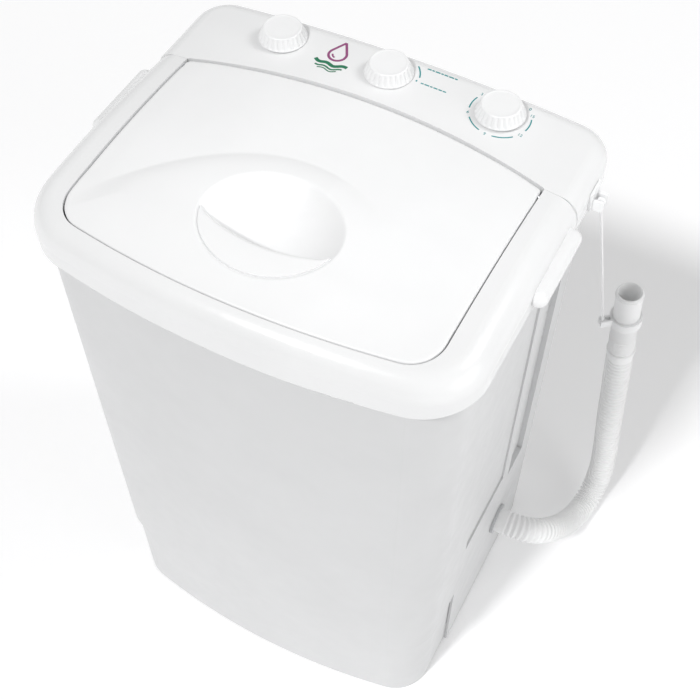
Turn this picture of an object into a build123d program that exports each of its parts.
from build123d import *
from math import atan2, cos, degrees, pi, radians, sin, tan
import os

os.makedirs("parts", exist_ok=True)

# Compact single-tub washing machine. Millimetres, +Z up, +X to the right of someone
# who faces the front, front towards -Y, origin under the middle of the object on the floor.

# ---- driving dimensions -------------------------------------------------------------
wall = 3.0                  # moulded plastic wall
deck_half = 200.0           # half width of the top deck and console
deck_front = -167.1         # foremost point of the bowed front rim
deck_rear = 167.1           # flat back of the console
deck_bow = 24.0             # how far the front rim's middle stands ahead of its ends
deck_low = 581.0            # lower lip of the deck
seam_y = 73.4               # joint between deck and console

casing_half_low = 184.4
casing_half_high = 190.0
casing_front_low = -155.4
casing_front_high = -158.3
casing_rear = 163.0
casing_bow = 21.7
casing_low = 3.0
casing_high = 603.0

plinth_high = 124.0
plinth_rear = -54.0
plinth_inset = 3.2

crown_radius = 1691.0       # sideways crown of the whole top
dome_radius = 961.0         # front-to-back crown of the lid and its rim
dome_y = -28.6
dome_top = 635.4
console_top = 629.5

lid_half_rear = 166.7
lid_half_front = 164.4
lid_rear = 71.7
lid_rear_bow = 19.1
lid_front = -128.8
lid_front_bow = 19.3
lid_gap = 1.9
lid_rear_gap = 2.5
lid_skin = 2.8
lid_skirt_low = 614.0
hinge_y = 66.0
hinge_z = 618.0
hinge_pin_r = 2.0

recess_y = -73.0            # oval finger recess in the lid
recess_half = 60.0          # half its width
recess_reach = 50.5         # half its length, front to back
recess_depth = 19.0
grip_mid_y = -94.0          # middle of the half-moon grip's bowed edge
grip_end = (65.0, -76.5)    # and where that edge runs out beyond the recess
grip_thick = 2.0

shelf_low = 586.0           # deck floor round the tub mouth
shelf_high = 590.0
tub_half = 150.0
tub_front = -131.0
tub_rear = 55.0
tub_corner = 46.0
tub_floor = 230.0
tub_axis_y = -38.0
well_r = 82.0               # round well for the pulsator
well_floor = 214.0

knob_spacing = 104.3
knob_y = 130.5
knob_r = 21.8               # at the foot of its fluted skirt
knob_top_r = 17.2
knob_high = 11.0
knob_bore_high = 8.0        # how far the shaft reaches up into the knob
flute_count = 24

shaft_r = 6.0
running_fit = 0.05
pulley_low = 66.0
pulley_high = 80.0
driven_r = 62.0
motor_x = -8.0
motor_y = 98.0
motor_r = 46.0
motor_pulley_r = 19.0
groove_depth = 7.0
belt_thick = 6.0
belt_play = 0.4

hose_r = 14.5
cuff_r = 13.7
exit_x = 188.5
exit_y = 62.0
exit_z = 103.0

# Free drain hose: out of the outlet, down on to the floor, then up beside the cabinet.
hose_route = [
    (exit_x, exit_y, exit_z),
    (222.0, exit_y, exit_z),
    (244.0, 89.0, 80.0),
    (254.0, 132.0, 34.0),
    (262.0, 175.0, 11.5),
    (266.0, 208.0, 37.0),
    (263.0, 210.0, 90.0),
    (257.5, 208.0, 150.0),
    (251.5, 208.0, 220.0),
    (246.0, 208.0, 289.0),
]
cuff_length = 93.5
clamp_share = 0.56          # where the clamp sits along the cuff, from its lower end
clip_y = 110.0              # hose clip on the console's right side
clip_z = 591.0


# ---- outlines seen from above -------------------------------------------------------
def plan(half, front, bow, rear, front_corner, rear_corner):
    """Straight sides and back, bowed front, rounded corners."""
    with BuildSketch(mode=Mode.PRIVATE) as shape:
        with BuildLine():
            Polyline((-half, front + bow), (-half, rear), (half, rear), (half, front + bow))
            ThreePointArc((half, front + bow), (0, front), (-half, front + bow))
        make_face()
        fillet(shape.vertices().group_by(Axis.Y)[-1], rear_corner)
        fillet(front_pair(shape), front_corner)
    return shape.sketch


def front_pair(shape):
    """The two vertices where the sides meet the bowed front."""
    return shape.vertices().filter_by(lambda v: v.Y < 0)


def deck_plan(inset):
    return plan(deck_half - inset, deck_front + inset, deck_bow, deck_rear - inset, 58 - inset, 33 - inset)


def casing_plan(level, inset):
    """The casing flares a little from floor to deck; level is 0 at the floor, 1 at its top."""
    half = casing_half_low + (casing_half_high - casing_half_low) * level
    front = casing_front_low + (casing_front_high - casing_front_low) * level
    rear_corner = max(26 - inset, 3)
    return plan(half - inset, front + inset, casing_bow, casing_rear - inset, 44 - inset, rear_corner)


def tub_plan(inset):
    depth = tub_rear - tub_front
    with BuildSketch(mode=Mode.PRIVATE) as shape:
        with Locations((0, (tub_front + tub_rear) / 2)):
            RectangleRounded(2 * (tub_half - inset), depth - 2 * inset, tub_corner - inset)
    return shape.sketch


def lid_plan(grow, rear_grow):
    """Lid outline: nearly straight sides, bowed front with round corners, bowed rear."""
    rear = lid_rear + rear_grow
    with BuildSketch(mode=Mode.PRIVATE) as shape:
        with BuildLine():
            Line((-lid_half_front - grow, lid_front - grow), (-lid_half_rear - grow, rear))
            ThreePointArc(
                (-lid_half_rear - grow, rear), (0, rear + lid_rear_bow), (lid_half_rear + grow, rear)
            )
            Line((lid_half_rear + grow, rear), (lid_half_front + grow, lid_front - grow))
            ThreePointArc(
                (lid_half_front + grow, lid_front - grow),
                (0, lid_front - grow - lid_front_bow),
                (-lid_half_front - grow, lid_front - grow),
            )
        make_face()
        fillet(front_pair(shape), 30 + grow)
        fillet(shape.vertices().group_by(Axis.Y)[-1], 3)
    return shape.sketch


# ---- shared solid moves, used inside a part -----------------------------------------
def slab(outline, low, high, mode=Mode.ADD):
    with BuildSketch(Plane.XY.offset(low)) as section:
        add(outline)
    extrude(section.sketch, amount=high - low, mode=mode)


def flare(low_outline, low, high_outline, high, mode=Mode.ADD):
    with BuildSketch(Plane.XY.offset(low)) as floor:
        add(low_outline)
    with BuildSketch(Plane.XY.offset(high)) as ceiling:
        add(high_outline)
    loft([floor.sketch, ceiling.sketch], ruled=True, mode=mode)


def post(x, y, low, high, radius, mode=Mode.ADD):
    with Locations((x, y, low)):
        Cylinder(radius, high - low, align=(Align.CENTER, Align.CENTER, Align.MIN), mode=mode)


def block(x, y, z, mode=Mode.ADD):
    """A box given by its (low, high) along each axis."""
    centre = tuple((side[0] + side[1]) / 2 for side in (x, y, z))
    with Locations(centre):
        Box(x[1] - x[0], y[1] - y[0], z[1] - z[0], mode=mode)


def rod_x(x, y, z, radius, mode=Mode.ADD):
    """A cylinder along X, with x as (low, high)."""
    with Locations(((x[0] + x[1]) / 2, y, z)):
        Cylinder(radius, x[1] - x[0], rotation=(0, 90, 0), mode=mode)


def rod_y(x, y, z, radius, mode=Mode.ADD):
    """A cylinder along Y, with y as (low, high)."""
    with Locations((x, (y[0] + y[1]) / 2, z)):
        Cylinder(radius, y[1] - y[0], rotation=(90, 0, 0), mode=mode)


def barrel(drop):
    """Everything under the top's domed surface, lowered by drop: curved both ways."""
    hub_z = dome_top - crown_radius
    sweep_deg = 18
    lean = radians(-sweep_deg / 2)
    start = Plane(origin=(0, 0, hub_z), x_dir=(0, 1, 0), z_dir=(cos(lean), 0, -sin(lean)))
    reach = 210
    edge = crown_radius - dome_radius + (dome_radius**2 - reach**2) ** 0.5 - drop
    with BuildPart(mode=Mode.PRIVATE) as tool:
        with BuildSketch(start):
            with BuildLine():
                Polyline(
                    (dome_y + reach, edge),
                    (dome_y + reach, crown_radius - 120),
                    (dome_y - reach, crown_radius - 120),
                    (dome_y - reach, edge),
                )
                ThreePointArc(
                    (dome_y - reach, edge), (dome_y, crown_radius - drop), (dome_y + reach, edge)
                )
            make_face()
        revolve(axis=Axis((0, 0, hub_z), (0, 1, 0)), revolution_arc=sweep_deg)
    return tool.part


def crown(drop):
    """Everything under the console's surface, lowered by drop: curved sideways only."""
    with BuildPart(mode=Mode.PRIVATE) as tool:
        rod_y(0, (-300, 300), console_top - crown_radius, crown_radius - drop)
    return tool.part


def surface_z(x):
    """Height of the console's top at x."""
    return console_top - x * x / (2 * crown_radius)


def casing_half(z):
    share = (z - casing_low) / (casing_high - casing_low)
    return casing_half_low + (casing_half_high - casing_half_low) * share


def side_pad(side, y, z, outer, inner, mode):
    """A block that follows the casing's flared side, from outer to inner distance inside it."""
    ends = []
    for level in z:
        reach = casing_half(level)
        with BuildSketch(Plane.XY.offset(level)) as section:
            with Locations((side * (reach - (outer + inner) / 2), (y[0] + y[1]) / 2)):
                Rectangle(inner - outer, y[1] - y[0])
        ends.append(section.sketch)
    loft(ends, ruled=True, mode=mode)


# ---- cabinet ------------------------------------------------------------------------
panel_y = (-40.5, 55.0)
panel_z = (205.0, 574.0)
panel_depth = 2.0
channel_y = (74.0, 112.0)
channel_z = (183.0, 600.0)
channel_depth = 5.5
cover_half = 118.0
cover_z = (36.0, 212.0)
cover_screws = [(side * 106, z) for side in (-1, 1) for z in (46, 202)]
gland_x = -135.0
gland_z = 250.0

with BuildPart() as cabinet_shell:
    flare(casing_plan(0, 0), casing_low, casing_plan(1, 0), casing_high)
    flare(casing_plan(0, wall), casing_low, casing_plan(1, wall), casing_high, Mode.SUBTRACT)
    for side in (-1, 1):
        backing_z = (channel_z[0] - 4, channel_z[1])
        side_pad(side, (channel_y[0] - 4, channel_y[1] + 4), backing_z, 1, channel_depth + wall, Mode.ADD)
        side_pad(side, (panel_y[0] - 4, panel_y[1] + 4), panel_z, 1, panel_depth + wall, Mode.ADD)
        side_pad(side, channel_y, channel_z, -4, channel_depth, Mode.SUBTRACT)
        side_pad(side, panel_y, panel_z, -4, panel_depth, Mode.SUBTRACT)
    block((-250, 250), (-250, plinth_rear), (0, plinth_high), Mode.SUBTRACT)
    block((-100, 100), (casing_rear - 10, casing_rear + 5), (52, 196), Mode.SUBTRACT)
    for x, z in cover_screws:
        rod_y(x, (casing_rear - 10, casing_rear + 5), z, 1.7, Mode.SUBTRACT)
    rod_y(gland_x, (casing_rear - 10, casing_rear + 5), gland_z, 8, Mode.SUBTRACT)
    rod_x((casing_half_low - 12, casing_half_low + 12), exit_y, exit_z, 12, Mode.SUBTRACT)
    with Locations((0, casing_rear, 420)):
        with GridLocations(90, 0, 2, 1):
            for row in range(6):
                with Locations((0, 0, row * 16)):
                    Box(64, 20, 5, mode=Mode.SUBTRACT)
cabinet_shell.part.label = "cabinet_shell"
export_step(cabinet_shell.part, "parts/cabinet_shell.step")

with BuildPart() as front_plinth:
    high = plinth_high - 1.2
    share = high / casing_high
    flare(casing_plan(0, plinth_inset), casing_low, casing_plan(share, plinth_inset), high)
    inner = plinth_inset + wall
    flare(casing_plan(0, inner), casing_low, casing_plan(share, inner), high - wall, Mode.SUBTRACT)
    slab(casing_plan(0, plinth_inset + 14), high - wall, high, Mode.SUBTRACT)
    block((-250, 250), (plinth_rear - 0.8, 250), (0, 200), Mode.SUBTRACT)
front_plinth.part.label = "front_plinth"
export_step(front_plinth.part, "parts/front_plinth.step")

foot_places = [(x, y) for x in (-148, 148) for y in (-100, 130)]
foot_high = 6.0
motor_posts = [(motor_x + dx, motor_y + dy) for dx in (-52, 52) for dy in (-40, 40)]
mount_low = 84.0
plate_low = 92.0
plate_high = 96.0

with BuildPart() as base_frame:
    slab(casing_plan(0, 7.5), foot_high, 30)
    slab(casing_plan(0, 7.5 + wall), foot_high + wall, 30, Mode.SUBTRACT)
    for x, y in motor_posts:
        post(x, y, foot_high + wall, mount_low, 9)
        post(x, y, mount_low - 20, mount_low, 2.5, Mode.SUBTRACT)
    block((-150, 150), (-2, 2), (foot_high + wall, 24))
    for x in (-100, 100):
        block((x - 2, x + 2), (-120, 150), (foot_high + wall, 24))
    for x, y in foot_places:
        post(x, y, foot_high, 22, 10)
        post(x, y, foot_high, 18, 3, Mode.SUBTRACT)
    with Locations((0, -75, foot_high)):
        with GridLocations(22, 14, 7, 4):
            Box(14, 5, 20, mode=Mode.SUBTRACT)
base_frame.part.label = "base_frame"
export_step(base_frame.part, "parts/base_frame.step")

with BuildPart() as feet:
    for x, y in foot_places:
        post(x, y, 0, foot_high, 15)
        post(x, y, foot_high, 17, 2.9)
    chamfer(feet.edges().group_by(Axis.Z)[0], 1.2)
feet.part.label = "feet"
export_step(feet.part, "parts/feet.step")

cover_thick = 2.5
with BuildPart() as rear_cover:
    cover_y = (casing_rear, casing_rear + cover_thick)
    block((-cover_half, cover_half), cover_y, cover_z)
    fillet(rear_cover.edges().filter_by(Axis.Y), 12)
    for x, z in cover_screws:
        rod_y(x, (casing_rear - 5, casing_rear + 5), z, 1.9, Mode.SUBTRACT)
    with Locations((0, casing_rear, 150)):
        with GridLocations(64, 0, 3, 1):
            for row in range(4):
                with Locations((0, 0, row * 12 - 18)):
                    Box(48, 12, 4, mode=Mode.SUBTRACT)
rear_cover.part.label = "rear_cover"
export_step(rear_cover.part, "parts/rear_cover.step")

with BuildPart() as rear_cover_screws:
    for x, z in cover_screws:
        rod_y(x, (casing_rear + cover_thick, casing_rear + cover_thick + 1.5), z, 4)
        rod_y(x, (casing_rear - 9, casing_rear + cover_thick), z, 1.6)
rear_cover_screws.part.label = "rear_cover_screws"
export_step(rear_cover_screws.part, "parts/rear_cover_screws.step")

with BuildPart() as cord_gland:
    rod_y(gland_x, (casing_rear, casing_rear + 3.5), gland_z, 12)
    rod_y(gland_x, (casing_rear - 12, casing_rear), gland_z, 7.8)
    rod_y(gland_x, (casing_rear - 20, casing_rear + 10), gland_z, 4, Mode.SUBTRACT)
    fillet(cord_gland.edges().group_by(Axis.Y)[-1], 1.2)
cord_gland.part.label = "cord_gland"
export_step(cord_gland.part, "parts/cord_gland.step")

# ---- top deck -----------------------------------------------------------------------
rim_round = 23.0
lip_round = 5.0
rim_hollow_top = 612.0
bumper_x = 160.5
bumper_y = -92.0

with BuildPart() as deck_blank:
    slab(deck_plan(0), deck_low, 650)
    add(barrel(0), mode=Mode.INTERSECT)
    fillet(deck_blank.faces().sort_by(Axis.Z)[0].edges(), lip_round)
    fillet(deck_blank.faces().sort_by(Axis.Z)[-1].edges(), rim_round)

with BuildPart() as top_deck:
    add(deck_blank.part)
    slab(deck_plan(wall), deck_low - 1, casing_high, Mode.SUBTRACT)
    slab(deck_plan(11), casing_high - 1, rim_hollow_top, Mode.SUBTRACT)
    slab(lid_plan(lid_gap + wall, lid_gap), shelf_low, rim_hollow_top)
    block((-250, 250), (seam_y - 0.8, 250), (500, 700), Mode.SUBTRACT)
    slab(casing_plan(1, channel_depth + wall + 1), shelf_low, shelf_high)
    slab(lid_plan(lid_gap + wall, lid_rear_gap + wall), shelf_low, casing_high - 0.2)
    slab(lid_plan(lid_gap, lid_rear_gap), shelf_high, 700, Mode.SUBTRACT)
    slab(tub_plan(-1), shelf_high - 1, 604)
    slab(tub_plan(2), shelf_low - 1, 700, Mode.SUBTRACT)
    for side in (-1, 1):
        rod_x((side * 172 - 8, side * 172 + 8), hinge_y, hinge_z, hinge_pin_r, Mode.SUBTRACT)
        post(side * bumper_x, bumper_y, shelf_low - 1, shelf_high + 1, 2, Mode.SUBTRACT)
top_deck.part.label = "top_deck"
export_step(top_deck.part, "parts/top_deck.step")

with BuildPart() as hinge_pins:
    for side in (-1, 1):
        rod_x((side * 166 - 7.5, side * 166 + 7.5), hinge_y, hinge_z, hinge_pin_r)
hinge_pins.part.label = "hinge_pins"
export_step(hinge_pins.part, "parts/hinge_pins.step")

with BuildPart() as lid_bumpers:
    for side in (-1, 1):
        post(side * bumper_x, bumper_y, shelf_high, lid_skirt_low - 0.4, 4)
        post(side * bumper_x, bumper_y, shelf_low, shelf_high, 1.9)
lid_bumpers.part.label = "lid_bumpers"
export_step(lid_bumpers.part, "parts/lid_bumpers.step")

# ---- carrying handles ---------------------------------------------------------------
handle_x = 203.0
handle_z = 599.0
handle_r = 8.0
handle_y = (-22.0, 62.0)


def handle(side):
    """A round-ended bar against the deck's side, with a finger groove open underneath."""
    with BuildPart(mode=Mode.PRIVATE) as bar:
        rod_y(side * handle_x, (handle_y[0] + handle_r, handle_y[1] - handle_r), handle_z, handle_r)
        for end in (handle_y[0] + handle_r, handle_y[1] - handle_r):
            with Locations((side * handle_x, end, handle_z)):
                Sphere(handle_r)
        block(sorted((side * 196, side * handle_x)), (handle_y[0] + 4, handle_y[1] - 4), (591.5, 606))
        add(deck_blank.part, mode=Mode.SUBTRACT)
        groove = sorted((side * 201.8, side * 208.2))
        block(groove, (handle_y[0] + 9, handle_y[1] - 9), (580, 600), Mode.SUBTRACT)
    return bar.part


with BuildPart() as handle_left:
    add(handle(-1))
handle_left.part.label = "handle_left"
export_step(handle_left.part, "parts/handle_left.step")

with BuildPart() as handle_right:
    add(handle(1))
handle_right.part.label = "handle_right"
export_step(handle_right.part, "parts/handle_right.step")

# ---- console ------------------------------------------------------------------------
console_round = 18.0
bracket_low = 614.0
bracket_high = 615.5
bracket_y = (112.0, 149.0)
boss_places = [(x, 122) for x in (-146, -52, 52, 146)]
timer_half = 19.5
switch_half = 15.0

with BuildPart() as console_blank:
    slab(deck_plan(0), deck_low, 650)
    add(crown(0), mode=Mode.INTERSECT)
    fillet(console_blank.faces().sort_by(Axis.Z)[0].edges(), lip_round)
    fillet(console_blank.faces().sort_by(Axis.Z)[-1].edges(), console_round)

with BuildPart() as console_core:
    slab(deck_plan(16), casing_high - 1, 650)
    add(crown(wall), mode=Mode.INTERSECT)
    block((-250, 250), (-250, seam_y + wall), (500, 700), Mode.SUBTRACT)
    slab(lid_plan(lid_gap + wall, lid_rear_gap + wall), 500, 700, Mode.SUBTRACT)
    for x, y in boss_places:
        post(x, y, bracket_high, 700, 5, Mode.SUBTRACT)

with BuildPart() as console:
    add(console_blank.part)
    block((-250, 250), (-250, seam_y), (500, 700), Mode.SUBTRACT)
    slab(lid_plan(lid_gap, lid_rear_gap), 500, 700, Mode.SUBTRACT)
    slab(deck_plan(wall), deck_low - 1, casing_high, Mode.SUBTRACT)
    add(console_core.part, mode=Mode.SUBTRACT)
    for x in (-knob_spacing, 0, knob_spacing):
        post(x, knob_y, 600, 700, 5, Mode.SUBTRACT)
    for x, y in boss_places:
        post(x, y, bracket_high - 1, bracket_high + 7, 1.4, Mode.SUBTRACT)
console.part.label = "console"
export_step(console.part, "parts/console.step")

with BuildPart() as timer_bracket:
    block((-154, 154), bracket_y, (bracket_low, bracket_high))
    fillet(timer_bracket.edges().filter_by(Axis.Z), 5)
    for x in (-knob_spacing, 0, knob_spacing):
        post(x, knob_y, bracket_low - 1, bracket_high + 1, 5.3, Mode.SUBTRACT)
    for x, y in boss_places:
        post(x, y, bracket_low - 1, bracket_high + 1, 1.6, Mode.SUBTRACT)
timer_bracket.part.label = "timer_bracket"
export_step(timer_bracket.part, "parts/timer_bracket.step")

with BuildPart() as bracket_screws:
    for x, y in boss_places:
        post(x, y, bracket_low - 2.4, bracket_low, 3.4)
        post(x, y, bracket_low, bracket_high + 6, 1.35)
bracket_screws.part.label = "bracket_screws"
export_step(bracket_screws.part, "parts/bracket_screws.step")


def switch_body(x, half, low):
    """A timer or switch body under the bracket, with a neck through it and a blind bore."""
    with BuildPart(mode=Mode.PRIVATE) as body:
        block((x - half, x + half), (knob_y - half, knob_y + half), (low, bracket_low))
        fillet(body.edges().filter_by(Axis.Z), 4)
        post(x, knob_y, bracket_low, bracket_high + 3, 5)
        post(x, knob_y, low + 5, bracket_high + 4, 3 + running_fit, Mode.SUBTRACT)
        for tag in (-9, 0, 9):
            block((x + tag - 2.4, x + tag + 2.4), (knob_y + half, knob_y + half + 6), (low + 3, low + 4))
    return body.part


with BuildPart() as spin_timer:
    add(switch_body(-knob_spacing, timer_half, 592.5))
spin_timer.part.label = "spin_timer"
export_step(spin_timer.part, "parts/spin_timer.step")

with BuildPart() as mode_switch:
    add(switch_body(0, switch_half, 597))
mode_switch.part.label = "mode_switch"
export_step(mode_switch.part, "parts/mode_switch.step")

with BuildPart() as wash_timer:
    add(switch_body(knob_spacing, timer_half, 592.5))
wash_timer.part.label = "wash_timer"
export_step(wash_timer.part, "parts/wash_timer.step")


# ---- knobs --------------------------------------------------------------------------
def knob_low(x):
    """The knob clears the crowned console by half a millimetre on its higher side."""
    nearest = max(abs(x) - knob_r, 0)
    return surface_z(nearest) + 0.5


def fluted_knob(x):
    """A low flat-topped cap whose skirt flares down to its foot, with finger flutes all round."""
    low = knob_low(x)
    flare_deg = degrees(atan2(knob_r - knob_top_r, knob_high))
    with BuildPart(mode=Mode.PRIVATE) as cap:
        with BuildSketch(Plane.XY.offset(low)):
            with Locations((x, knob_y)):
                Circle(knob_r)
                with PolarLocations(knob_r + 0.6, flute_count):
                    Circle(1.7, mode=Mode.SUBTRACT)
        extrude(amount=knob_high, taper=flare_deg)
        post(x, knob_y, low - 1, low + 4, knob_r - 6, Mode.SUBTRACT)
        post(x, knob_y, low, low + knob_bore_high, 6)
        post(x, knob_y, low - 1, low + knob_bore_high, 3, Mode.SUBTRACT)
    return cap.part


def knob_shaft(x, low):
    with BuildPart(mode=Mode.PRIVATE) as stem:
        post(x, knob_y, low, knob_low(x) + knob_bore_high, 3)
    return stem.part


with BuildPart() as left_knob:
    add(fluted_knob(-knob_spacing))
left_knob.part.label = "left_knob"
export_step(left_knob.part, "parts/left_knob.step")

with BuildPart() as left_knob_shaft:
    add(knob_shaft(-knob_spacing, 598))
left_knob_shaft.part.label = "left_knob_shaft"
export_step(left_knob_shaft.part, "parts/left_knob_shaft.step")

with BuildPart() as middle_knob:
    add(fluted_knob(0))
middle_knob.part.label = "middle_knob"
export_step(middle_knob.part, "parts/middle_knob.step")

with BuildPart() as middle_knob_shaft:
    add(knob_shaft(0, 602.5))
middle_knob_shaft.part.label = "middle_knob_shaft"
export_step(middle_knob_shaft.part, "parts/middle_knob_shaft.step")

with BuildPart() as right_knob:
    add(fluted_knob(knob_spacing))
right_knob.part.label = "right_knob"
export_step(right_knob.part, "parts/right_knob.step")

with BuildPart() as right_knob_shaft:
    add(knob_shaft(knob_spacing, 598))
right_knob_shaft.part.label = "right_knob_shaft"
export_step(right_knob_shaft.part, "parts/right_knob_shaft.step")

# ---- lid ----------------------------------------------------------------------------
recess_dip = 1.2            # how far the crowned lid falls from the recess's centre to its rim
bowl_rise = recess_depth - recess_dip
bowl_r = (recess_reach**2 + bowl_rise**2) / (2 * bowl_rise)
bowl_y = recess_y + (recess_y - dome_y) / dome_radius * (bowl_r - recess_depth)
bowl_z = dome_top - (recess_y - dome_y) ** 2 / (2 * dome_radius) - recess_depth + bowl_r
grip_sink = 0.3             # the grip lies this far under the lid's surface
knuckle_r = 3.8


def recess_plan(margin):
    with BuildSketch(mode=Mode.PRIVATE) as shape:
        with Locations((0, recess_y)):
            Ellipse(recess_half + margin, recess_reach + margin)
    return shape.sketch


def half_moon(play):
    """The front part of the recess's oval, ending in a bowed edge."""
    end_x, end_y = grip_end
    with BuildSketch(mode=Mode.PRIVATE) as shape:
        add(recess_plan(-play))
        with BuildLine():
            Polyline((-end_x, end_y), (-end_x, 0), (end_x, 0), (end_x, end_y))
            ThreePointArc((end_x, end_y), (0, grip_mid_y), (-end_x, end_y))
        make_face(mode=Mode.SUBTRACT)
    return shape.sketch


def bowl(radius):
    """A ball stretched sideways to the recess's oval."""
    half = radius * recess_half / recess_reach
    with BuildPart(mode=Mode.PRIVATE) as shape:
        with BuildSketch(Plane.XZ) as profile:
            Ellipse(half, radius)
            Rectangle(3 * half, 2 * radius, align=(Align.CENTER, Align.MAX), mode=Mode.SUBTRACT)
        revolve(profile.sketch, axis=Axis.X)
    return shape.part.moved(Location((0, bowl_y, bowl_z)))


with BuildPart() as lid_core:
    slab(lid_plan(-wall, -wall), lid_skirt_low - 1, 660)
    add(barrel(lid_skin), mode=Mode.INTERSECT)

with BuildPart() as bowl_backing:
    slab(recess_plan(6), 605, 660)
    add(bowl(bowl_r + lid_skin), mode=Mode.INTERSECT)
    add(barrel(lid_skin / 2), mode=Mode.INTERSECT)

with BuildPart() as grip_ledge:
    slab(recess_plan(4), 605, 660)
    add(barrel(lid_skin / 2), mode=Mode.INTERSECT)
    add(barrel(lid_skin * 2), mode=Mode.SUBTRACT)
    block((-100, 100), (grip_end[1] + 2, 100), (600, 700), Mode.SUBTRACT)

with BuildPart() as grip_seat:
    slab(half_moon(0), 605, 660)
    add(barrel(grip_sink + grip_thick + 0.05), mode=Mode.SUBTRACT)

with BuildPart() as lid_panel:
    slab(lid_plan(0, 0), lid_skirt_low, 660)
    add(barrel(0), mode=Mode.INTERSECT)
    add(lid_core.part, mode=Mode.SUBTRACT)
    add(bowl_backing.part)
    add(grip_ledge.part)
    add(bowl(bowl_r), mode=Mode.SUBTRACT)
    add(grip_seat.part, mode=Mode.SUBTRACT)
    for side in (-1, 1):
        rod_x((side * 161 - 5, side * 161 + 5), hinge_y, hinge_z, knuckle_r)
        bore = hinge_pin_r + running_fit
        rod_x((side * 163 - 9, side * 163 + 9), hinge_y, hinge_z, bore, Mode.SUBTRACT)
lid_panel.part.label = "lid_panel"
export_step(lid_panel.part, "parts/lid_panel.step")

with BuildPart() as lid_grip:
    slab(half_moon(0.5), 605, 660)
    add(barrel(grip_sink), mode=Mode.INTERSECT)
    add(barrel(grip_sink + grip_thick), mode=Mode.SUBTRACT)
lid_grip.part.label = "lid_grip"
export_step(lid_grip.part, "parts/lid_grip.step")

# ---- tub ----------------------------------------------------------------------------
tub_rim_low = 580.0
tub_rim_high = 583.0
drain_x = 95.0
drain_y = 20.0
pipe_r = 9.3

with BuildPart() as wash_tub:
    slab(tub_plan(0), tub_floor - wall, tub_rim_high)
    slab(tub_plan(-9), tub_rim_low, tub_rim_high)
    post(0, tub_axis_y, well_floor - wall, tub_floor, well_r + wall)
    slab(tub_plan(wall), tub_floor, tub_rim_high + 1, Mode.SUBTRACT)
    post(0, tub_axis_y, well_floor, tub_floor + 1, well_r, Mode.SUBTRACT)
    post(0, tub_axis_y, 200, 300, 14, Mode.SUBTRACT)
    post(drain_x, drain_y, 200, 300, 17, Mode.SUBTRACT)
wash_tub.part.label = "wash_tub"
export_step(wash_tub.part, "parts/wash_tub.step")

with BuildPart() as tub_gasket:
    slab(tub_plan(-9), tub_rim_high, shelf_low)
    slab(tub_plan(0), tub_rim_high - 1, shelf_low + 1, Mode.SUBTRACT)
tub_gasket.part.label = "tub_gasket"
export_step(tub_gasket.part, "parts/tub_gasket.step")

channel_inner = tub_rear - wall
filter_half = 27.0
filter_low = 350.0
filter_high = 500.0
filter_y = (channel_inner - 13, channel_inner - 4)

with BuildPart() as filter_channel:
    block((-filter_half - 6, filter_half + 6), (channel_inner - 3, channel_inner), (330, 520))
    for side in (-1, 1):
        rail = sorted((side * (filter_half + 0.6), side * (filter_half + 6)))
        block(rail, (channel_inner - 16, channel_inner - 3), (330, 520))
        lip = sorted((side * (filter_half - 4), side * (filter_half + 6)))
        block(lip, (channel_inner - 16, channel_inner - 13.5), (330, 520))
    block((-filter_half, filter_half), (channel_inner - 16, channel_inner - 3), (330, 345))
filter_channel.part.label = "filter_channel"
export_step(filter_channel.part, "parts/filter_channel.step")

with BuildPart() as filter_cassette:
    block((-filter_half, filter_half), filter_y, (filter_low, filter_high))
    block((-filter_half + 5, filter_half - 5), (0, 100), (filter_low + 8, filter_high - 14), Mode.SUBTRACT)
    block((-10, 10), (filter_y[0] - 5, filter_y[0]), (filter_high - 8, filter_high - 3))
filter_cassette.part.label = "filter_cassette"
export_step(filter_cassette.part, "parts/filter_cassette.step")

with BuildPart() as filter_mesh:
    mid = (filter_y[0] + filter_y[1]) / 2
    block((-filter_half + 5, filter_half - 5), (mid - 0.6, mid + 0.6), (filter_low + 8, filter_high - 14))
    with Locations((0, mid, (filter_low + filter_high) / 2 - 3)):
        with GridLocations(6, 0, 7, 1):
            for row in range(-10, 11):
                with Locations((0, 0, row * 6)):
                    Box(4, 3, 4, mode=Mode.SUBTRACT)
filter_mesh.part.label = "filter_mesh"
export_step(filter_mesh.part, "parts/filter_mesh.step")

# ---- drain --------------------------------------------------------------------------
with BuildPart() as drain_grate:
    post(drain_x, drain_y, tub_floor, tub_floor + 2, 21)
    post(drain_x, drain_y, tub_floor - 2.5, tub_floor, 16.5)
    with Locations((drain_x, drain_y, tub_floor)):
        with PolarLocations(9.5, 8):
            Cylinder(2.2, 12, mode=Mode.SUBTRACT)
    post(drain_x, drain_y, tub_floor - 5, tub_floor + 5, 2.5, Mode.SUBTRACT)
drain_grate.part.label = "drain_grate"
export_step(drain_grate.part, "parts/drain_grate.step")

sump_low = 178.0
with BuildPart() as drain_sump:
    post(drain_x, drain_y, tub_floor - wall - 4, tub_floor - wall, 26)
    post(drain_x, drain_y, tub_floor - 24, tub_floor - wall - 4, 20)
    post(drain_x, drain_y, tub_floor - 21, tub_floor, 16.8, Mode.SUBTRACT)
    post(drain_x, drain_y, sump_low, tub_floor - 24, pipe_r)
    post(drain_x, drain_y, sump_low - 1, tub_floor, pipe_r - 2, Mode.SUBTRACT)
drain_sump.part.label = "drain_sump"
export_step(drain_sump.part, "parts/drain_sump.step")

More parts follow.
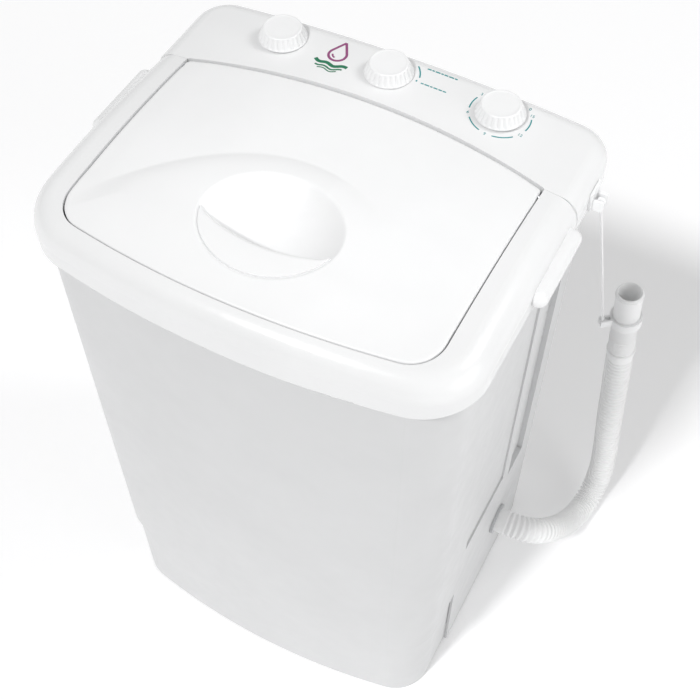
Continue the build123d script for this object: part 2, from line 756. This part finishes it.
spigot_tail = 150.0
with BuildPart() as drain_spigot:
    rod_x((casing_half(exit_z) + 0.3, exit_x), exit_y, exit_z, 18)
    rod_x((casing_half(exit_z) - 8, casing_half(exit_z) + 0.3), exit_y, exit_z, 11.8)
    rod_x((spigot_tail, casing_half(exit_z) - 8), exit_y, exit_z, pipe_r)
    rod_x((spigot_tail - 1, exit_x + 1), exit_y, exit_z, pipe_r - 2, Mode.SUBTRACT)
drain_spigot.part.label = "drain_spigot"
export_step(drain_spigot.part, "parts/drain_spigot.step")

tube_r = 12.0
tube_top = 200.0
tube_end = 168.0
with BuildPart() as drain_tube:
    with BuildLine():
        FilletPolyline(
            (drain_x, drain_y, tube_top),
            (drain_x, drain_y, 150),
            (112, 50, exit_z + 1),
            (132, exit_y, exit_z),
            (tube_end, exit_y, exit_z),
            radius=[20, 20, 20],
        )
    with BuildSketch(Plane((drain_x, drain_y, tube_top), z_dir=(0, 0, -1))):
        Circle(tube_r)
        Circle(pipe_r + 0.1, mode=Mode.SUBTRACT)
    sweep()
drain_tube.part.label = "drain_tube"
export_step(drain_tube.part, "parts/drain_tube.step")

with BuildPart() as drain_tube_clamps:
    post(drain_x, drain_y, 184, 192, tube_r + 1.6)
    post(drain_x, drain_y, 183, 193, tube_r + 0.1, Mode.SUBTRACT)
    rod_x((156, 164), exit_y, exit_z, tube_r + 1.6)
    rod_x((155, 165), exit_y, exit_z, tube_r + 0.1, Mode.SUBTRACT)
    block((drain_x - 2, drain_x + 2), (drain_y + 13, drain_y + 20), (185, 191))
    block((157, 163), (exit_y - 2, exit_y + 2), (exit_z + 13, exit_z + 20))
drain_tube_clamps.part.label = "drain_tube_clamps"
export_step(drain_tube_clamps.part, "parts/drain_tube_clamps.step")

# ---- pulsator and its bearing -------------------------------------------------------
bush_r = 10.0
with BuildPart() as bearing_housing:
    post(0, tub_axis_y, well_floor - wall - 6, well_floor - wall, 42)
    post(0, tub_axis_y, 116, well_floor - wall - 6, 20)
    with Locations((0, tub_axis_y, 181)):
        with PolarLocations(0, 6):
            with Locations((27, 0, 0)):
                Box(16, 3, 48)
    post(0, tub_axis_y, 110, 230, bush_r, Mode.SUBTRACT)
    post(0, tub_axis_y, well_floor - wall - 6, well_floor, 14, Mode.SUBTRACT)
bearing_housing.part.label = "bearing_housing"
export_step(bearing_housing.part, "parts/bearing_housing.step")

with BuildPart() as shaft_bushes:
    for low in (118, 182):
        post(0, tub_axis_y, low, low + 18, bush_r)
        post(0, tub_axis_y, low - 1, low + 19, shaft_r + running_fit, Mode.SUBTRACT)
shaft_bushes.part.label = "shaft_bushes"
export_step(shaft_bushes.part, "parts/shaft_bushes.step")

with BuildPart() as shaft_seal:
    post(0, tub_axis_y, well_floor - wall - 6, well_floor - 0.5, 14)
    post(0, tub_axis_y, 200, 230, shaft_r + running_fit, Mode.SUBTRACT)
shaft_seal.part.label = "shaft_seal"
export_step(shaft_seal.part, "parts/shaft_seal.step")

pulsator_low = well_floor + 2.5
pulsator_r = 76.0
with BuildPart() as pulsator:
    post(0, tub_axis_y, pulsator_low, pulsator_low + 5, pulsator_r)
    post(0, tub_axis_y, pulsator_low + 5, pulsator_low + 22, 20)
    with Locations((0, tub_axis_y, pulsator_low + 10)):
        with PolarLocations(0, 4):
            with Locations((42, 0, 0)):
                Box(56, 9, 13)
    fillet(pulsator.edges().group_by(Axis.Z)[-1], 5)
    post(0, tub_axis_y, pulsator_low - 1, pulsator_low + 16, shaft_r, Mode.SUBTRACT)
    post(0, tub_axis_y, pulsator_low + 15, pulsator_low + 30, 2.5, Mode.SUBTRACT)
    post(0, tub_axis_y, pulsator_low + 19, pulsator_low + 30, 5, Mode.SUBTRACT)
pulsator.part.label = "pulsator"
export_step(pulsator.part, "parts/pulsator.step")

shaft_low = 56.0
with BuildPart() as pulsator_shaft:
    post(0, tub_axis_y, shaft_low, pulsator_low + 16, shaft_r)
    post(0, tub_axis_y, pulsator_low + 4, pulsator_low + 17, 2.4, Mode.SUBTRACT)
pulsator_shaft.part.label = "pulsator_shaft"
export_step(pulsator_shaft.part, "parts/pulsator_shaft.step")

with BuildPart() as pulsator_screw:
    post(0, tub_axis_y, pulsator_low + 5, pulsator_low + 19, 2.4)
    post(0, tub_axis_y, pulsator_low + 19, pulsator_low + 21.5, 4.6)
    post(0, tub_axis_y, pulsator_low + 20, pulsator_low + 22, 1.6, Mode.SUBTRACT)
pulsator_screw.part.label = "pulsator_screw"
export_step(pulsator_screw.part, "parts/pulsator_screw.step")


def pulley(x, y, radius, bore, spokes):
    """A grooved wheel; a large one is lightened by round windows."""
    with BuildPart(mode=Mode.PRIVATE) as wheel:
        post(x, y, pulley_low, pulley_high, radius)
        with BuildPart(mode=Mode.PRIVATE) as groove:
            post(x, y, pulley_low + 2.5, pulley_high - 2.5, radius + 1)
            post(x, y, pulley_low, pulley_high, radius - groove_depth, Mode.SUBTRACT)
        add(groove.part, mode=Mode.SUBTRACT)
        post(x, y, pulley_low - 1, pulley_high + 1, bore, Mode.SUBTRACT)
        if spokes:
            with Locations((x, y, (pulley_low + pulley_high) / 2)):
                with PolarLocations(radius * 0.52, spokes):
                    Cylinder(radius * 0.19, 20, mode=Mode.SUBTRACT)
    return wheel.part


with BuildPart() as driven_pulley:
    add(pulley(0, tub_axis_y, driven_r, shaft_r, 6))
driven_pulley.part.label = "driven_pulley"
export_step(driven_pulley.part, "parts/driven_pulley.step")

with BuildPart() as pulley_nut:
    with BuildSketch(Plane.XY.offset(pulley_low - 7)):
        with Locations((0, tub_axis_y)):
            RegularPolygon(10, 6)
            Circle(shaft_r, mode=Mode.SUBTRACT)
    extrude(amount=7)
pulley_nut.part.label = "pulley_nut"
export_step(pulley_nut.part, "parts/pulley_nut.step")

# ---- motor --------------------------------------------------------------------------
with BuildPart() as motor_body:
    post(motor_x, motor_y, 104, 182, motor_r)
    post(motor_x, motor_y, 103, 183, 31, Mode.SUBTRACT)
motor_body.part.label = "motor_body"
export_step(motor_body.part, "parts/motor_body.step")

with BuildPart() as motor_end_caps:
    for low, high, hub_low, hub_high in ((96, 104, 96, 110), (182, 190, 176, 194)):
        post(motor_x, motor_y, low, high, motor_r)
        post(motor_x, motor_y, hub_low, hub_high, 12)
        post(motor_x, motor_y, 90, 193 if high > 150 else 120, 5 + running_fit, Mode.SUBTRACT)
motor_end_caps.part.label = "motor_end_caps"
export_step(motor_end_caps.part, "parts/motor_end_caps.step")

with BuildPart() as motor_rotor:
    post(motor_x, motor_y, 114, 172, 30.4)
    post(motor_x, motor_y, 60, 192, 5)
motor_rotor.part.label = "motor_rotor"
export_step(motor_rotor.part, "parts/motor_rotor.step")

with BuildPart() as motor_pulley:
    add(pulley(motor_x, motor_y, motor_pulley_r, 5, 0))
motor_pulley.part.label = "motor_pulley"
export_step(motor_pulley.part, "parts/motor_pulley.step")

with BuildPart() as motor_bracket:
    block((motor_x - 64, motor_x + 64), (motor_y - 52, motor_y + 52), (plate_low, plate_high))
    fillet(motor_bracket.edges().filter_by(Axis.Z), 12)
    post(motor_x, motor_y, plate_low - 1, plate_high + 1, 14, Mode.SUBTRACT)
    for x, y in motor_posts:
        post(x, y, plate_low - 1, plate_high + 1, 3, Mode.SUBTRACT)
motor_bracket.part.label = "motor_bracket"
export_step(motor_bracket.part, "parts/motor_bracket.step")

with BuildPart() as motor_mounts:
    for x, y in motor_posts:
        post(x, y, mount_low, plate_low, 8.5)
        post(x, y, mount_low - 1, plate_low + 1, 3, Mode.SUBTRACT)
motor_mounts.part.label = "motor_mounts"
export_step(motor_mounts.part, "parts/motor_mounts.step")

with BuildPart() as motor_bolts:
    for x, y in motor_posts:
        post(x, y, mount_low - 18, plate_high, 2.4)
        post(x, y, plate_high, plate_high + 3.5, 5)
motor_bolts.part.label = "motor_bolts"
export_step(motor_bolts.part, "parts/motor_bolts.step")


def belt_loop(grow):
    """The belt's line round both pulleys, grown outwards."""
    with BuildSketch(mode=Mode.PRIVATE) as shape:
        with Locations((0, tub_axis_y)):
            Circle(driven_r - groove_depth + belt_play + grow)
        with Locations((motor_x, motor_y)):
            Circle(motor_pulley_r - groove_depth + belt_play + grow)
        make_hull()
    return shape.sketch


with BuildPart() as drive_belt:
    slab(belt_loop(belt_thick), pulley_low + 3, pulley_high - 3)
    slab(belt_loop(0), pulley_low, pulley_high, Mode.SUBTRACT)
drive_belt.part.label = "drive_belt"
export_step(drive_belt.part, "parts/drive_belt.step")

capacitor_x = 76.0
capacitor_y = 130.0
with BuildPart() as capacitor:
    post(capacitor_x, capacitor_y, foot_high + wall, 78, 19)
    for tag in (-5, 5):
        block((capacitor_x + tag - 0.5, capacitor_x + tag + 0.5), (capacitor_y - 3, capacitor_y + 3), (78, 88))
capacitor.part.label = "capacitor"
export_step(capacitor.part, "parts/capacitor.step")

with BuildPart() as capacitor_clip:
    post(capacitor_x, capacitor_y, 40, 54, 21)
    post(capacitor_x, capacitor_y, 39, 55, 19.1, Mode.SUBTRACT)
    block((capacitor_x + 20, capacitor_x + 42), (capacitor_y - 6, capacitor_y + 6), (40, 43))
    block((capacitor_x + 39, capacitor_x + 42), (capacitor_y - 6, capacitor_y + 6), (foot_high + wall, 43))
capacitor_clip.part.label = "capacitor_clip"
export_step(capacitor_clip.part, "parts/capacitor_clip.step")

# ---- free drain hose and what hangs on it -------------------------------------------
bend_share = 0.45           # part of the shorter run that an arc's tangent may take


def bend_radii(route):
    """One radius for each corner of the route, as large as its two runs allow."""
    points = [Vector(*p) for p in route]
    radii = []
    for before, corner, after in zip(points, points[1:], points[2:]):
        arriving = corner - before
        leaving = after - corner
        turn = radians(arriving.get_angle(leaving))
        radii.append(bend_share * min(arriving.length, leaving.length) / tan(turn / 2))
    return radii


hose_radii = bend_radii(hose_route)
with BuildPart() as drain_hose:
    with BuildLine() as hose_line:
        FilletPolyline(*hose_route, radius=hose_radii)
    with BuildSketch(Plane(hose_route[0], z_dir=Vector(*hose_route[1]) - Vector(*hose_route[0]))):
        Circle(hose_r)
    sweep()
drain_hose.part.label = "drain_hose"
export_step(drain_hose.part, "parts/drain_hose.step")
print("hose radii in diameters:", [round(r / (2 * hose_r), 2) for r in hose_radii])
hose_length = sum(edge.length for edge in hose_line.edges())
print("hose length:", round(hose_length, 1))
print("hose volume over section times length:",
      round(drain_hose.part.volume / (pi * hose_r**2 * hose_length), 4))

cuff_start = Vector(*hose_route[-1])
cuff_dir = (cuff_start - Vector(*hose_route[-2])).normalized() * cuff_length
cuff_plane = Plane(cuff_start, x_dir=(1, 0, 0), z_dir=cuff_dir)

with BuildPart() as hose_cuff:
    with BuildSketch(cuff_plane):
        Circle(cuff_r)
    extrude(amount=cuff_length)
    with BuildSketch(cuff_plane.offset(4)):
        Circle(cuff_r - 2.2)
    extrude(amount=cuff_length, mode=Mode.SUBTRACT)
hose_cuff.part.label = "hose_cuff"
export_step(hose_cuff.part, "parts/hose_cuff.step")

clamp_half = 5.0
pin_r = 1.5
clamp_centre = cuff_start + cuff_dir * clamp_share
clamp_plane = Plane(clamp_centre - cuff_dir.normalized() * clamp_half, x_dir=(1, 0, 0), z_dir=cuff_dir)
ear_dir = (Vector(-0.78, -0.62, 0)).normalized()
ear_reach = cuff_r + 11
eye_centre = clamp_centre + ear_dir * ear_reach
across = ear_dir.cross(Vector(0, 0, 1))
with BuildPart() as hose_clamp:
    with BuildSketch(clamp_plane):
        Circle(cuff_r + 3)
        Circle(cuff_r + 0.05, mode=Mode.SUBTRACT)
    extrude(amount=2 * clamp_half)
    with BuildSketch(Plane(clamp_centre + ear_dir * (cuff_r + 1.5), x_dir=(0, 0, 1), z_dir=ear_dir)):
        with GridLocations(0, 6.2, 1, 2):
            Rectangle(2 * clamp_half - 1, 2.2)
    extrude(amount=ear_reach - cuff_r + 2)
    with BuildSketch(Plane(eye_centre - across * 3.5, z_dir=across)):
        Circle(pin_r)
    extrude(amount=7)
hose_clamp.part.label = "hose_clamp"
export_step(hose_clamp.part, "parts/hose_clamp.step")

clip_x = 208.0
with BuildPart() as hose_clip:
    block((deck_half + 0.05, deck_half + 2.5), (clip_y - 10, clip_y + 10), (clip_z - 5, clip_z + 14))
    for side in (-1, 1):
        ear = sorted((clip_y + side * 4, clip_y + side * 7))
        block((deck_half + 2.5, clip_x + 4), ear, (clip_z - 5, clip_z + 5))
    rod_y(clip_x, (clip_y - 5, clip_y + 5), clip_z, pin_r)
hose_clip.part.label = "hose_clip"
export_step(hose_clip.part, "parts/hose_clip.step")

strap_high = Vector(clip_x, clip_y, clip_z)
strap_dir = eye_centre - strap_high
strap_plane = Plane(strap_high, x_dir=(0, 1, 0), z_dir=strap_dir)
with BuildPart() as hose_strap:
    with BuildSketch(strap_plane.offset(3)):
        Rectangle(3.2, 1.6)
    extrude(amount=strap_dir.length - 6)
    for point, swing in ((strap_high, Vector(0, 1, 0)), (eye_centre, across)):
        eye_plane = Plane(point - swing * 1.6, z_dir=swing)
        with BuildSketch(eye_plane):
            Circle(4.2)
        extrude(amount=3.2)
    for point, swing in ((strap_high, Vector(0, 1, 0)), (eye_centre, across)):
        with BuildSketch(Plane(point - swing * 4, z_dir=swing)):
            Circle(pin_r + 0.4)
        extrude(amount=8, mode=Mode.SUBTRACT)
hose_strap.part.label = "hose_strap"
export_step(hose_strap.part, "parts/hose_strap.step")
